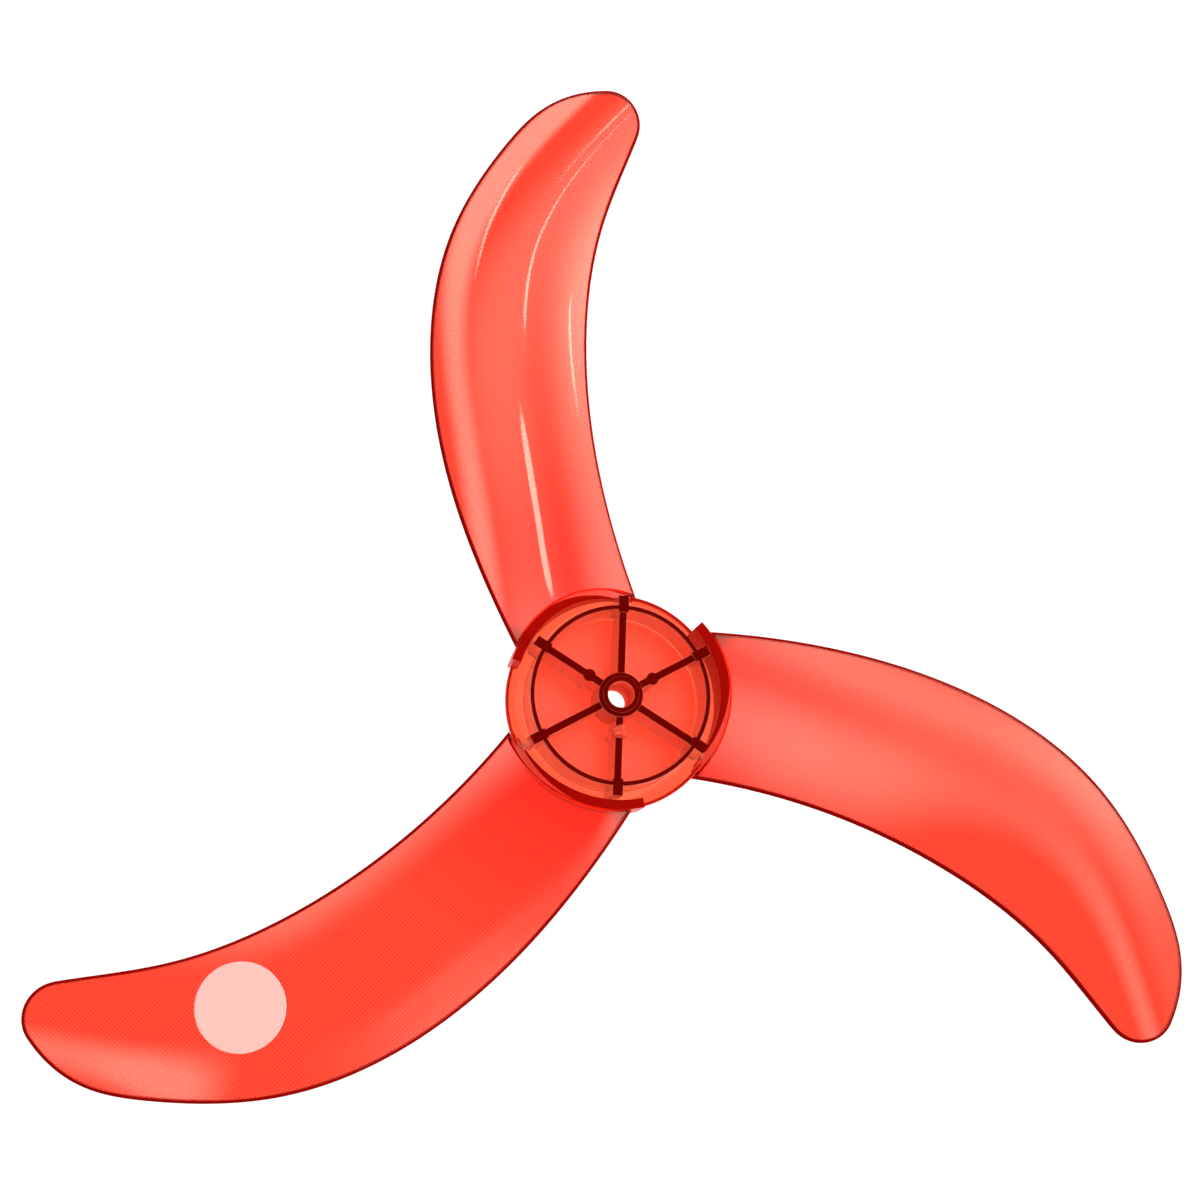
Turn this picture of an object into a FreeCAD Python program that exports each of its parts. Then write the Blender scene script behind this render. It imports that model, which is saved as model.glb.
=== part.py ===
import FreeCAD, Part
import math
import os
import Sketcher

# Three-blade impeller of a pedestal fan, moulded in one piece.
# Z is the axis of rotation. The front disc of the hub lies on Z = 0 and the ribbed rear side faces up.
# The first blade points along +Y. Angles called lean run from +Y towards the leading edge.

SIZES = (
    # Whole impeller
    ("sweep_diameter", 400.0),
    ("blade_count", 3),
    # Hub dish
    ("hub_height", 19.5),
    ("floor_thickness", 2.2),
    ("front_disc_diameter", 52.0),
    ("rim_diameter", 67.4),
    ("rim_low", 3.4),
    ("rim_thickness", 2.4),
    # Shaft boss
    ("bore_diameter", 8.0),
    ("boss_diameter", 13.7),
    ("collar_diameter", 11.2),
    ("collar_rise", 0.6),
    # Stiffening ring
    ("ring_diameter", 55.4),
    ("ring_wall", 1.4),
    # Radial ribs, and the posts, blocks and buttresses on them
    ("rib_count", 6),
    ("rib_width", 2.35),
    ("rib_drop", 1.2),
    ("post_count", 3),
    ("post_diameter", 3.8),
    ("post_radius", 11.2),
    ("block_width", 3.3),
    ("block_inset", 0.7),
    ("block_reach", 2.9),
    ("buttress_width", 1.9),
    ("buttress_drop", 6.0),
    # Wall under each blade root
    ("wall_thickness", 3.8),
    ("wall_overhang", 1.7),
    ("wall_base", 2.4),
    ("wall_proud", 0.5),
    ("wall_past_lean", 4.5),
    # Blade outline: stations along the span, and where each edge stands there
    ("lead_root_lean", 70.0),
    ("lead_inner_span", 0.19),
    ("lead_inner_lean", 47.3),
    ("lead_middle_span", 0.46),
    ("lead_middle_lean", 34.0),
    ("lead_outer_span", 0.73),
    ("lead_outer_lean", 22.1),
    ("lead_tip_span", 0.892),
    ("lead_tip_lean", 13.2),
    ("tip_round", 10.4),
    ("tip_lean", 2.5),
    ("tip_turn_start", 98.0),
    ("tip_turn_end", 4.0),
    ("trail_tip_span", 0.904),
    ("trail_tip_lean", -0.3),
    ("trail_outer_span", 0.73),
    ("trail_outer_lean", 3.2),
    ("trail_middle_span", 0.49),
    ("trail_middle_lean", 6.2),
    ("trail_inner_span", 0.22),
    ("trail_inner_lean", 4.9),
    ("trail_root_lean", -11.6),
    # Blade sheet: its section, and the crown and pitch of it at each share of the tip radius
    ("camber_radius", 85.0),
    ("root_thickness", 2.2),
    ("tip_thickness", 1.6),
    ("edge_break", 0.45),
    ("sheet_half_width", 42.0),
    ("root_crown_across", -8.3),
    ("root_crown_height", 12.4),
    ("root_pitch", 15.0),
    ("inner_share", 0.25),
    ("inner_crown_across", -23.8),
    ("inner_crown_height", 12.9),
    ("inner_pitch", 14.8),
    ("middle_share", 0.55),
    ("middle_crown_across", -36.6),
    ("middle_crown_height", 13.2),
    ("middle_pitch", 14.0),
    ("outer_share", 0.8),
    ("outer_crown_across", -29.0),
    ("outer_crown_height", 12.0),
    ("outer_pitch", 12.2),
    ("tip_share", 0.95),
    ("tip_crown_across", -13.9),
    ("tip_crown_height", 9.0),
    ("tip_pitch", 7.7),
    ("end_share", 1.05),
    ("end_crown_across", -2.0),
    ("end_crown_height", 6.6),
    ("end_pitch", 4.0),
)

doc = FreeCAD.newDocument("fan_blade")
sheet = doc.addObject("Spreadsheet::Sheet", "Sizes")
for row, (alias, number) in enumerate(SIZES, start=1):
    sheet.set(f"A{row}", alias)
    sheet.set(f"B{row}", str(number))
    sheet.setAlias(f"B{row}", alias)
doc.recompute()

# Radii, heights and angles that several features share
AXIS = FreeCAD.Vector(0, 0, 0)
UP = FreeCAD.Vector(0, 0, 1)
TIP_RADIUS = "Sizes.sweep_diameter / 2"
BORE = "Sizes.bore_diameter / 2"
BOSS = "Sizes.boss_diameter / 2"
MID_BOSS = "(Sizes.bore_diameter + Sizes.boss_diameter) / 4"
COLLAR = "Sizes.collar_diameter / 2"
FRONT_EDGE = "Sizes.front_disc_diameter / 2"
RIM = "Sizes.rim_diameter / 2"
RING_OUTSIDE = "Sizes.ring_diameter / 2"
RING_INSIDE = "Sizes.ring_diameter / 2 - Sizes.ring_wall"
RING_MIDDLE = "Sizes.ring_diameter / 2 - Sizes.ring_wall / 2"
BLOCK_INSIDE = f"{RING_INSIDE} - Sizes.block_inset"
BLOCK_OUTSIDE = f"{RING_OUTSIDE} + Sizes.block_reach"
WALL_OUTSIDE = f"{RIM} + Sizes.wall_overhang"
WALL_INSIDE = f"{WALL_OUTSIDE} - Sizes.wall_thickness"
WALL_MIDDLE = f"({WALL_OUTSIDE} - Sizes.wall_thickness / 2)"
FLOOR = "Sizes.floor_thickness"
MID_FLOOR = "Sizes.floor_thickness / 2"
REAR = "Sizes.hub_height"
COLLAR_REAR = "Sizes.hub_height + Sizes.collar_rise"
RIB_REAR = "Sizes.hub_height - Sizes.rib_drop"
LEAD_ROOT = "90 + Sizes.lead_root_lean"
TRAIL_ROOT = "90 + Sizes.trail_root_lean"
WALL_END = "90 + Sizes.lead_root_lean + Sizes.wall_past_lean"


def size(expression):
    """Number that an expression of the sheet's sizes comes to."""
    return float(sheet.evalExpression(expression))


def polar(radius, angle):
    turn = math.radians(size(angle))
    return FreeCAD.Vector(math.cos(turn), math.sin(turn), 0) * size(radius)


def origin_feature(body, role):
    return next(item for item in body.Origin.OriginFeatures if item.Role == role)


def new_sketch(body, name, role, offset="0"):
    """Sketch on one of the body's origin planes, moved along the plane's normal."""
    sketch = body.newObject("Sketcher::SketchObject", name)
    sketch.AttachmentSupport = [(origin_feature(body, role), "")]
    sketch.MapMode = "FlatFace"
    sketch.setExpression("AttachmentOffset.Base.z", offset)
    return sketch


def bind(sketch, kind, expression, *places):
    """Add a dimension to a sketch and tie it to the sheet."""
    index = sketch.addConstraint(Sketcher.Constraint(kind, *places, size(expression)))
    sketch.setExpression(f"Constraints[{index}]", expression)


def bind_angle(sketch, line, expression):
    """Tie a line's direction, in degrees, to the sheet."""
    index = sketch.addConstraint(Sketcher.Constraint("Angle", line, math.radians(size(expression))))
    sketch.setExpression(f"Constraints[{index}]", f"({expression}) * 1 deg")


def place_point(sketch, geometry, end, across, up):
    """Fix one point of a sketch at a distance across and up from the sketch's origin."""
    bind(sketch, "DistanceX", across, -1, 1, geometry, end)
    bind(sketch, "DistanceY", up, -1, 1, geometry, end)


def join_ends(sketch, edges):
    """Close a loop of edges, each given as its geometry, its first end and its last end."""
    for edge, following in zip(edges, edges[1:] + edges[:1]):
        sketch.addConstraint(Sketcher.Constraint("Coincident", edge[0], edge[2], following[0], following[1]))


def arc_about(centre, first, last):
    """Arc of less than half a turn between two points, with the ends that they take on it."""
    angles = [math.atan2(point.y - centre.y, point.x - centre.x) for point in (first, last)]
    ends = (1, 2)
    if (angles[1] - angles[0]) % math.tau > math.pi:
        angles.reverse()
        ends = (2, 1)
    return Part.ArcOfCircle(Part.Circle(centre, UP, (first - centre).Length), *angles), ends


def profile(sketch, corners):
    """Closed outline. A third expression puts an arc after its corner, with its centre that far across."""
    points = [FreeCAD.Vector(size(corner[0]), size(corner[1]), 0) for corner in corners]
    edges = []
    for corner, first, last in zip(corners, points, points[1:] + points[:1]):
        if len(corner) == 3:
            across = size(corner[2])
            rise = (last.x - across) ** 2 - (first.x - across) ** 2 + last.y ** 2 - first.y ** 2
            arc, ends = arc_about(FreeCAD.Vector(across, rise / (last.y - first.y) / 2, 0), first, last)
            edges.append((sketch.addGeometry(arc), *ends))
        else:
            edges.append((sketch.addGeometry(Part.LineSegment(first, last)), 1, 2))
    join_ends(sketch, edges)
    for corner, (geometry, first_end, last_end) in zip(corners, edges):
        place_point(sketch, geometry, first_end, corner[0], corner[1])
        if len(corner) == 3:
            bind(sketch, "DistanceX", corner[2], -1, 1, geometry, 3)


def rectangle(sketch, left, low, right, high):
    profile(sketch, [(left, low), (right, low), (right, high), (left, high)])


def band_profile(sketch, centre, radii, angles):
    """Closed stretch of a ring about a centre, between two radii and two angles."""
    middle = FreeCAD.Vector(size(centre[0]), size(centre[1]), 0)
    corners = [[middle + polar(radius, angle) for angle in angles] for radius in radii]
    inner, outer = [sketch.addGeometry(arc_about(middle, *pair)[0]) for pair in corners]
    first, last = [sketch.addGeometry(Part.LineSegment(corners[0][i], corners[1][i])) for i in (0, 1)]
    join_ends(sketch, [(inner, 1, 2), (last, 1, 2), (outer, 2, 1), (first, 2, 1)])
    sketch.addConstraint(Sketcher.Constraint("Coincident", inner, 3, outer, 3))
    place_point(sketch, inner, 3, *centre)
    for arc, radius in zip((inner, outer), radii):
        bind(sketch, "Radius", radius, arc)
    for line, angle in zip((first, last), angles):
        sketch.addConstraint(Sketcher.Constraint("PointOnObject", inner, 3, line))
        bind_angle(sketch, line, angle)


def pad(body, sketch, name, length, both_sides=False):
    feature = body.newObject("PartDesign::Pad", name)
    feature.Profile = sketch
    feature.setExpression("Length", length)
    feature.Midplane = both_sides
    return feature


def polar_pattern(body, name, originals, count):
    pattern = body.newObject("PartDesign::PolarPattern", name)
    pattern.Originals = originals
    pattern.Axis = (origin_feature(body, "Z_Axis"), [""])
    pattern.Angle = 360
    pattern.setExpression("Occurrences", count)
    body.Tip = pattern


# Hub: front dish with a rounded shoulder, shaft boss and stiffening ring, turned as one section
hub = doc.addObject("PartDesign::Body", "hub")
hub_section = new_sketch(hub, "hub_section", "XZ_Plane")
profile(hub_section, [
    (BORE, "0"),
    (FRONT_EDGE, "0", FRONT_EDGE),
    (RIM, "Sizes.rim_low"),
    (RIM, "Sizes.rim_low + Sizes.rim_thickness", RING_OUTSIDE),
    (RING_OUTSIDE, FLOOR),
    (RING_OUTSIDE, REAR),
    (RING_INSIDE, REAR),
    (RING_INSIDE, FLOOR),
    (BOSS, FLOOR),
    (BOSS, REAR),
    (COLLAR, REAR),
    (COLLAR, COLLAR_REAR),
    (BORE, COLLAR_REAR),
])
hub_turned = hub.newObject("PartDesign::Revolution", "hub_turned")
hub_turned.Profile = hub_section
hub_turned.ReferenceAxis = (hub_section, ["V_Axis"])
hub_turned.Angle = 360


def radial_bar(name, width, inner, outer, low, high):
    """Bar that stands on the hub and runs out along +Y."""
    plan = new_sketch(hub, f"{name}_plan", "XY_Plane", low)
    rectangle(plan, f"-{width} / 2", inner, f"{width} / 2", outer)
    return pad(hub, plan, name, f"{high} - {low}")


# Each rib runs from the boss to the ring, with a block across the ring and a buttress down to the rim
rib = radial_bar("rib", "Sizes.rib_width", MID_BOSS, RING_MIDDLE, MID_FLOOR, RIB_REAR)
block = radial_bar("block", "Sizes.block_width", BLOCK_INSIDE, BLOCK_OUTSIDE, FLOOR, REAR)
BUTTRESS_FOOT = f"{RIM} - Sizes.rim_thickness / 4"
BUTTRESS_REAR = "Sizes.hub_height - Sizes.buttress_drop"
buttress_side = new_sketch(hub, "buttress_side", "YZ_Plane")
profile(buttress_side, [
    (RING_MIDDLE, MID_FLOOR),
    (BUTTRESS_FOOT, "Sizes.rim_low + Sizes.rim_thickness / 4"),
    (BUTTRESS_FOOT, "Sizes.rim_low + Sizes.rim_thickness"),
    (BLOCK_OUTSIDE, BUTTRESS_REAR),
    (RING_MIDDLE, BUTTRESS_REAR),
])
buttress = pad(hub, buttress_side, "buttress", "Sizes.buttress_width", both_sides=True)
polar_pattern(hub, "rib_pattern", [rib, block, buttress], "Sizes.rib_count")

# Round posts on every second rib
post_plan = new_sketch(hub, "post_plan", "XY_Plane", MID_FLOOR)
post_centre = FreeCAD.Vector(0, -size("post_radius"), 0)
post_circle = post_plan.addGeometry(Part.Circle(post_centre, UP, size("post_diameter / 2")))
bind(post_plan, "Diameter", "Sizes.post_diameter", post_circle)
place_point(post_plan, post_circle, 3, "0", "-Sizes.post_radius")
post = pad(hub, post_plan, "post", f"{RIB_REAR} - {MID_FLOOR}")
polar_pattern(hub, "post_pattern", [post], "Sizes.post_count")

STATIONS = ("root", "inner", "middle", "outer", "tip", "end")


def station_distance(station):
    return "0" if station == "root" else f"Sizes.{station}_share * {TIP_RADIUS}"


def half_thickness(station):
    """Half of the blade's thickness, which falls evenly from the axis to the tip."""
    share = "0" if station == "root" else f"Sizes.{station}_share"
    return f"(Sizes.root_thickness + (Sizes.tip_thickness - Sizes.root_thickness) * {share}) / 2"


def cambered_loft(body, kind, name, offsets):
    """Loft of circular bands that follows the blade's middle surface, between two offsets from it."""
    sections = []
    for station in STATIONS:
        section = new_sketch(body, f"{name}_{station}", "XZ_Plane", f"-{station_distance(station)}")
        pitch = f"Sizes.{station}_pitch"
        spread = "asin(Sizes.sheet_half_width / Sizes.camber_radius) / 1 deg"
        centre = (f"Sizes.{station}_crown_across - Sizes.camber_radius * sin({pitch})",
                  f"Sizes.{station}_crown_height - Sizes.camber_radius * cos({pitch})")
        radii = [f"Sizes.camber_radius + {offset}" for offset in offsets(station)]
        band_profile(section, centre, radii, (f"90 - {pitch} - {spread}", f"90 - {pitch} + {spread}"))
        sections.append(section)
    loft = body.newObject(f"PartDesign::{kind}", name)
    loft.Profile = sections[0]
    loft.Sections = sections[1:]
    doc.recompute()
    return loft


def outline_spline(points, held, direction):
    """Smooth curve through points, with its direction given at one of them."""
    curve = Part.BSplineCurve()
    flags = [index == held for index in range(len(points))]
    curve.interpolate(Points=points, Tangents=[direction] * len(points), TangentFlags=flags)
    return curve


def edge_points(edge, stations):
    """Points of the leading or trailing edge, each at its share of the span from the root wall to the tip."""
    points = []
    for station in stations:
        radius = f"{WALL_MIDDLE} + Sizes.{edge}_{station}_span * ({TIP_RADIUS} - {WALL_MIDDLE})"
        points.append(polar(radius, f"90 + Sizes.{edge}_{station}_lean"))
    return points


# Blade: cambered sheet that thins towards the tip
blade = doc.addObject("PartDesign::Body", "blade")
blade_sheet = cambered_loft(blade, "AdditiveLoft", "blade_sheet",
                            lambda station: (f"-{half_thickness(station)}", half_thickness(station)))

# The sickle outline stands in a frame wider than the sheet, and what lies between the two is cut away
outline = new_sketch(blade, "blade_outline", "XY_Plane")
FRAME = f"Sizes.end_share * {TIP_RADIUS} + Sizes.sheet_half_width"
rectangle(outline, f"-({FRAME})", f"-({FRAME})", FRAME, FRAME)
TIP_CENTRE = f"({TIP_RADIUS} - Sizes.tip_round)"
tip_centre = polar(TIP_CENTRE, "90 + Sizes.tip_lean")
tip_first = tip_centre + polar("Sizes.tip_round", "Sizes.tip_turn_start")
tip_last = tip_centre + polar("Sizes.tip_round", "Sizes.tip_turn_end")
lead_root = polar(WALL_MIDDLE, LEAD_ROOT)
trail_root = polar(WALL_MIDDLE, TRAIL_ROOT)
lead_points = [lead_root, *edge_points("lead", ("inner", "middle", "outer", "tip")), tip_first]
trail_points = [tip_last, *edge_points("trail", ("tip", "outer", "middle", "inner")), trail_root]
lead_curve = outline_spline(lead_points, len(lead_points) - 1, polar("1", "Sizes.tip_turn_start - 90"))
trail_curve = outline_spline(trail_points, 0, polar("1", "Sizes.tip_turn_end - 90"))
lead = outline.addGeometry(lead_curve)
tip = outline.addGeometry(arc_about(tip_centre, tip_first, tip_last)[0])
trail = outline.addGeometry(trail_curve)
root = outline.addGeometry(arc_about(AXIS, trail_root, lead_root)[0])
join_ends(outline, [(lead, 1, 2), (tip, 2, 1), (trail, 1, 2), (root, 1, 2)])
bind(outline, "Radius", "Sizes.tip_round", tip)
place_point(outline, tip, 3, f"-{TIP_CENTRE} * sin(Sizes.tip_lean)", f"{TIP_CENTRE} * cos(Sizes.tip_lean)")
bind(outline, "Radius", WALL_MIDDLE, root)
outline.addConstraint(Sketcher.Constraint("Coincident", root, 3, -1, 1))
blade_trim = blade.newObject("PartDesign::Pocket", "blade_trim")
blade_trim.Profile = outline
blade_trim.Type = "ThroughAll"
blade_trim.SideType = "Symmetric"
doc.recompute()

# The long edges outside the root wall are broken, above and below
free_edges = []
for number, edge in enumerate(blade_trim.Shape.Edges, start=1):
    halfway = edge.valueAt((edge.FirstParameter + edge.LastParameter) / 2)
    outside = math.hypot(halfway.x, halfway.y) > size(WALL_OUTSIDE)
    if outside and edge.Length > size("2 * Sizes.root_thickness"):
        free_edges.append(f"Edge{number}")
blade_edges = blade.newObject("PartDesign::Chamfer", "blade_edges")
blade_edges.Base = (blade_trim, free_edges)
blade_edges.setExpression("Size", "Sizes.edge_break")

# Wall under the blade root: a stretch of a ring round the rim, cut off just above the blade sheet
root_wall = doc.addObject("PartDesign::Body", "root_wall")
wall_plan = new_sketch(root_wall, "wall_plan", "XY_Plane", "Sizes.wall_base")
band_profile(wall_plan, ("0", "0"), (WALL_INSIDE, WALL_OUTSIDE), (TRAIL_ROOT, WALL_END))
wall_block = pad(root_wall, wall_plan, "wall_block", "Sizes.hub_height - Sizes.wall_base")
WALL_TOP = f"{half_thickness('root')} + Sizes.wall_proud"
wall_cut = cambered_loft(root_wall, "SubtractiveLoft", "wall_cut",
                         lambda station: (WALL_TOP, f"{WALL_TOP} + Sizes.hub_height"))

# One blade with its wall, repeated round the axis and moulded on to the hub
first_blade = doc.addObject("Part::Fuse", "first_blade")
first_blade.Base = blade
first_blade.Tool = root_wall
blades = [first_blade]
for number in range(1, int(size("Sizes.blade_count"))):
    turned_blade = doc.addObject("App::Link", f"turned_blade_{number}")
    turned_blade.LinkedObject = first_blade
    turned_blade.Placement = FreeCAD.Placement(AXIS, FreeCAD.Rotation(UP, number))
    turned_blade.setExpression("Placement.Rotation.Angle", f"{number} * 360 deg / Sizes.blade_count")
    blades.append(turned_blade)
fan_blade = doc.addObject("Part::MultiFuse", "fan_blade")
fan_blade.Label = "fan_blade"
fan_blade.Shapes = [hub, *blades]
fan_blade.Refine = True
doc.recompute()

for item in doc.Objects:
    if "Invalid" in item.State or "Error" in item.State:
        raise RuntimeError(f"{item.Name} failed: {item.State}")
if blade_trim.Shape.Volume > 0.9 * blade_sheet.Shape.Volume:
    raise RuntimeError("the outline left the blade sheet uncut")
if root_wall.Shape.Volume > 0.9 * wall_block.Shape.Volume:
    raise RuntimeError("the root wall was left uncut")
if fan_blade.Shape.isNull() or not fan_blade.Shape.isValid() or len(fan_blade.Shape.Solids) != 1:
    raise RuntimeError("the impeller is not one valid solid")

os.makedirs("parts", exist_ok=True)
fan_blade.Shape.exportStep(f"parts/{fan_blade.Label}.step")
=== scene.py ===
import math
import bpy
import numpy as np
from mathutils import Matrix, Vector


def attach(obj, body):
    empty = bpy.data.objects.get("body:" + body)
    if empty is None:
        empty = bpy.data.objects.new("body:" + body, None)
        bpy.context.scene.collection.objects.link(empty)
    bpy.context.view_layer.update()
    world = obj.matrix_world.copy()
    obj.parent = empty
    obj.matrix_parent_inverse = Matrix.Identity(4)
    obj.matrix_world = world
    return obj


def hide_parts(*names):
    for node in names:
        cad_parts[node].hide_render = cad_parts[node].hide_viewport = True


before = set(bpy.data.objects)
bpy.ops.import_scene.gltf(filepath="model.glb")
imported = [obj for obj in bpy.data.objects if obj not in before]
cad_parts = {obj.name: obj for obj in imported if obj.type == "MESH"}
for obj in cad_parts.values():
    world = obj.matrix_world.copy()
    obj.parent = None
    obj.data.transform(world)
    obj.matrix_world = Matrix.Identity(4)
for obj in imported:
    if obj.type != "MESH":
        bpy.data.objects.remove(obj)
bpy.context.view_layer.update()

# Impeller of a pedestal fan, moulded in one piece from clear red plastic. Z is the axis of rotation:
# the front disc of the hub lies on Z = 0 and the ribbed rear faces up. The first blade points along +Y.
# Sizes are in metres and the solid's own, but for the root walls, which are thinner here, and for what only this
# script has: the gate stub, the label, the small rounds and the ripples.
MM = 0.001
TIP_RADIUS = 200.0 * MM
BLADE_COUNT = 3
HUB_HEIGHT = 19.5 * MM
FLOOR_THICKNESS = 2.2 * MM
FRONT_EDGE = 26.0 * MM
RIM = 33.7 * MM
RIM_LOW = 3.4 * MM
RIM_THICKNESS = 2.4 * MM
BORE = 4.0 * MM
BOSS = 6.85 * MM
COLLAR = 5.6 * MM
COLLAR_RISE = 0.6 * MM
RING_OUTSIDE = 27.7 * MM
RING_INSIDE = 26.3 * MM
RIB_COUNT = 6
RIB_WIDTH = 2.35 * MM
RIB_DROP = 1.2 * MM
POST_COUNT = 3
POST_DIAMETER = 3.8 * MM
POST_RADIUS = 11.2 * MM
POST_REAR = 18.4 * MM
STUB_RADIUS = 2.3 * MM
STUB_SUNK = 0.6 * MM
STUB_TEAR = 1.6
BLOCK_WIDTH = 3.3 * MM
BLOCK_INSIDE = 25.6 * MM
BLOCK_OUTSIDE = 30.6 * MM
BUTTRESS_WIDTH = 1.9 * MM
BUTTRESS_DROP = 6.0 * MM
WALL_THICKNESS = 3.0 * MM
WALL_RADIUS = 33.2 * MM
WALL_MIDDLE = 33.5 * MM
WALL_BASE = 2.4 * MM
WALL_PROUD = 0.5 * MM
WALL_SUNK = 0.9 * MM
ROOT_THICKNESS = 2.2 * MM
TIP_THICKNESS = 1.6 * MM
CAMBER_RADIUS = 85.0 * MM
CORNER_STEPS, WALL_STEPS, POST_STEPS, TIP_STEPS, ROOT_STEPS = 4, 97, 40, 33, 65
NEARLY_STRAIGHT = math.radians(88)

# Hair-thin circle that sections are turned on, and distances below which points are welded
AXIS_LINE, AXIS_WELD, SEAM_WELD = 0.001 * MM, 0.003 * MM, 0.0001 * MM

# Blade outline: share of the span from the root wall to the tip, and lean from +Y in degrees
LEAD_ROOT_LEAN = 70.0
LEAD_EDGE = ((0.19, 47.3), (0.46, 34.0), (0.73, 22.1), (0.892, 13.2))
TRAIL_ROOT_LEAN = -11.6
TRAIL_EDGE = ((0.22, 4.9), (0.49, 6.2), (0.73, 3.2), (0.904, -0.3))
WALL_START_LEAN, WALL_END_LEAN = -9.0, 74.5
TIP_ROUND = 10.4 * MM
TIP_LEAN = 2.5
TIP_TURN_START, TIP_TURN_END = 98.0, 4.0
LEAD_TIP_PULL, TRAIL_TIP_PULL = 1.35, 1.1

# Blade sheet: share of the tip radius, crown across and crown height in millimetres, pitch in degrees
STATIONS = (
    (0.0, -8.3, 12.4, 15.0),
    (0.25, -23.8, 12.9, 14.8),
    (0.55, -36.6, 13.2, 14.0),
    (0.8, -29.0, 12.0, 12.2),
    (0.95, -13.9, 9.0, 7.7),
    (1.05, -2.0, 6.6, 4.0),
)

# Wires that the nodes draw the moulding from, by the number each point carries
LEAD_WIRE, TRAIL_WIRE, ROOT_WIRE, HUB_WIRE = range(4)


def colour(hex_code, alpha=1.0):
    """sRGB hex value as a linear colour."""
    channels = [int(hex_code[i:i + 2], 16) / 255 for i in (1, 3, 5)]
    return (*(c / 12.92 if c <= 0.04045 else ((c + 0.055) / 1.055) ** 2.4 for c in channels), alpha)


def add(tree, kind, inputs=None, **settings):
    """Add a node with its settings. Its inputs are numbers, nodes, sockets, or a list of them to join."""
    node = tree.nodes.new(kind)
    for name, value in settings.items():
        setattr(node, name, value)
    for key, value in (inputs or {}).items():
        for source in value if isinstance(value, list) else [value]:
            if isinstance(source, bpy.types.Node):
                source = next(output for output in source.outputs if output.enabled)
            if isinstance(source, bpy.types.NodeSocket):
                tree.links.new(source, node.inputs[key])
            else:
                node.inputs[key].default_value = source
    return node


def polar(radius, degrees):
    turn = math.radians(degrees)
    return np.array((radius * math.cos(turn), radius * math.sin(turn)))


def smooth_run(points, end_direction, steps=24):
    """Points on a smooth curve through the given ones, which leaves the last one in the given direction."""
    points = np.array(points)
    spans = np.linalg.norm(np.diff(points, axis=0), axis=1)
    last = len(spans)
    rule = np.zeros((last + 1, last + 1))
    right = np.zeros((last + 1, 2))
    near, far = spans[0] ** 2, spans[1] ** 2
    rule[0, :3] = far, far - near, -near
    right[0] = 2 * (far * (points[1] - points[0]) / spans[0] - near * (points[2] - points[1]) / spans[1])
    for i in range(1, last):
        before, after = spans[i - 1], spans[i]
        rule[i, i - 1:i + 2] = 1 / before, 2 / before + 2 / after, 1 / after
        right[i] = 3 * ((points[i] - points[i - 1]) / before ** 2 + (points[i + 1] - points[i]) / after ** 2)
    rule[last, last] = 1
    right[last] = end_direction
    slopes = np.linalg.solve(rule, right)
    run = []
    for i, span in enumerate(spans):
        for t in np.arange(steps) / steps:
            run.append((2 * t ** 3 - 3 * t ** 2 + 1) * points[i] + (3 * t ** 2 - 2 * t ** 3) * points[i + 1]
                       + span * ((t ** 3 - 2 * t ** 2 + t) * slopes[i] + (t ** 3 - t ** 2) * slopes[i + 1]))
    return run + [points[-1]]


def edge_wire(root_lean, stations, turn, leaving):
    """One edge of the blade from its root to the middle of the round tip."""
    radii = [WALL_MIDDLE + share * (TIP_RADIUS - WALL_MIDDLE) for share, _ in stations]
    leans = [lean for _, lean in stations]
    tip_centre = polar(TIP_RADIUS - TIP_ROUND, 90 + TIP_LEAN)
    points = [polar(radius, 90 + lean) for radius, lean in zip([WALL_MIDDLE, *radii], [root_lean, *leans])]
    points.append(tip_centre + polar(TIP_ROUND, turn))
    tip_turns = np.linspace(turn, (TIP_TURN_START + TIP_TURN_END) / 2, TIP_STEPS)[1:]
    return smooth_run(points, leaving) + [tip_centre + polar(TIP_ROUND, t) for t in tip_turns]


def rounded(corners, steps=CORNER_STEPS):
    """Outline of straight runs with round corners, each given as its place and the radius there."""
    outline = []
    for i, (x, y, radius) in enumerate(corners):
        here = np.array((x, y))
        before = np.array(corners[i - 1][:2]) - here
        after = np.array(corners[(i + 1) % len(corners)][:2]) - here
        before, after = before / np.linalg.norm(before), after / np.linalg.norm(after)
        half = math.acos(np.clip(before @ after, -1, 1)) / 2
        if radius <= 0 or half > NEARLY_STRAIGHT:
            outline.append(here)
            continue
        middle = here + (before + after) / np.linalg.norm(before + after) * radius / math.sin(half)
        first, last = here + before * radius / math.tan(half), here + after * radius / math.tan(half)
        a, b = (math.atan2(*(p - middle)[::-1]) for p in (first, last))
        sweep = (b - a + math.pi) % math.tau - math.pi
        outline += [middle + radius * np.array((math.cos(a + sweep * t), math.sin(a + sweep * t)))
                    for t in np.linspace(0, 1, steps + 1)]
    return outline


def curved_run(first, last, across, steps=12):
    """Points between two others on an arc whose centre lies at a given distance across."""
    (x0, y0), (x1, y1) = first, last
    up = ((x1 - across) ** 2 - (x0 - across) ** 2 + y1 ** 2 - y0 ** 2) / (y1 - y0) / 2
    radius = math.hypot(x0 - across, y0 - up)
    a, b = math.atan2(y0 - up, x0 - across), math.atan2(y1 - up, x1 - across)
    return [(across + radius * math.cos(a + (b - a) * t), up + radius * math.sin(a + (b - a) * t), 0)
            for t in np.linspace(0, 1, steps + 1)[1:-1]]


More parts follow.
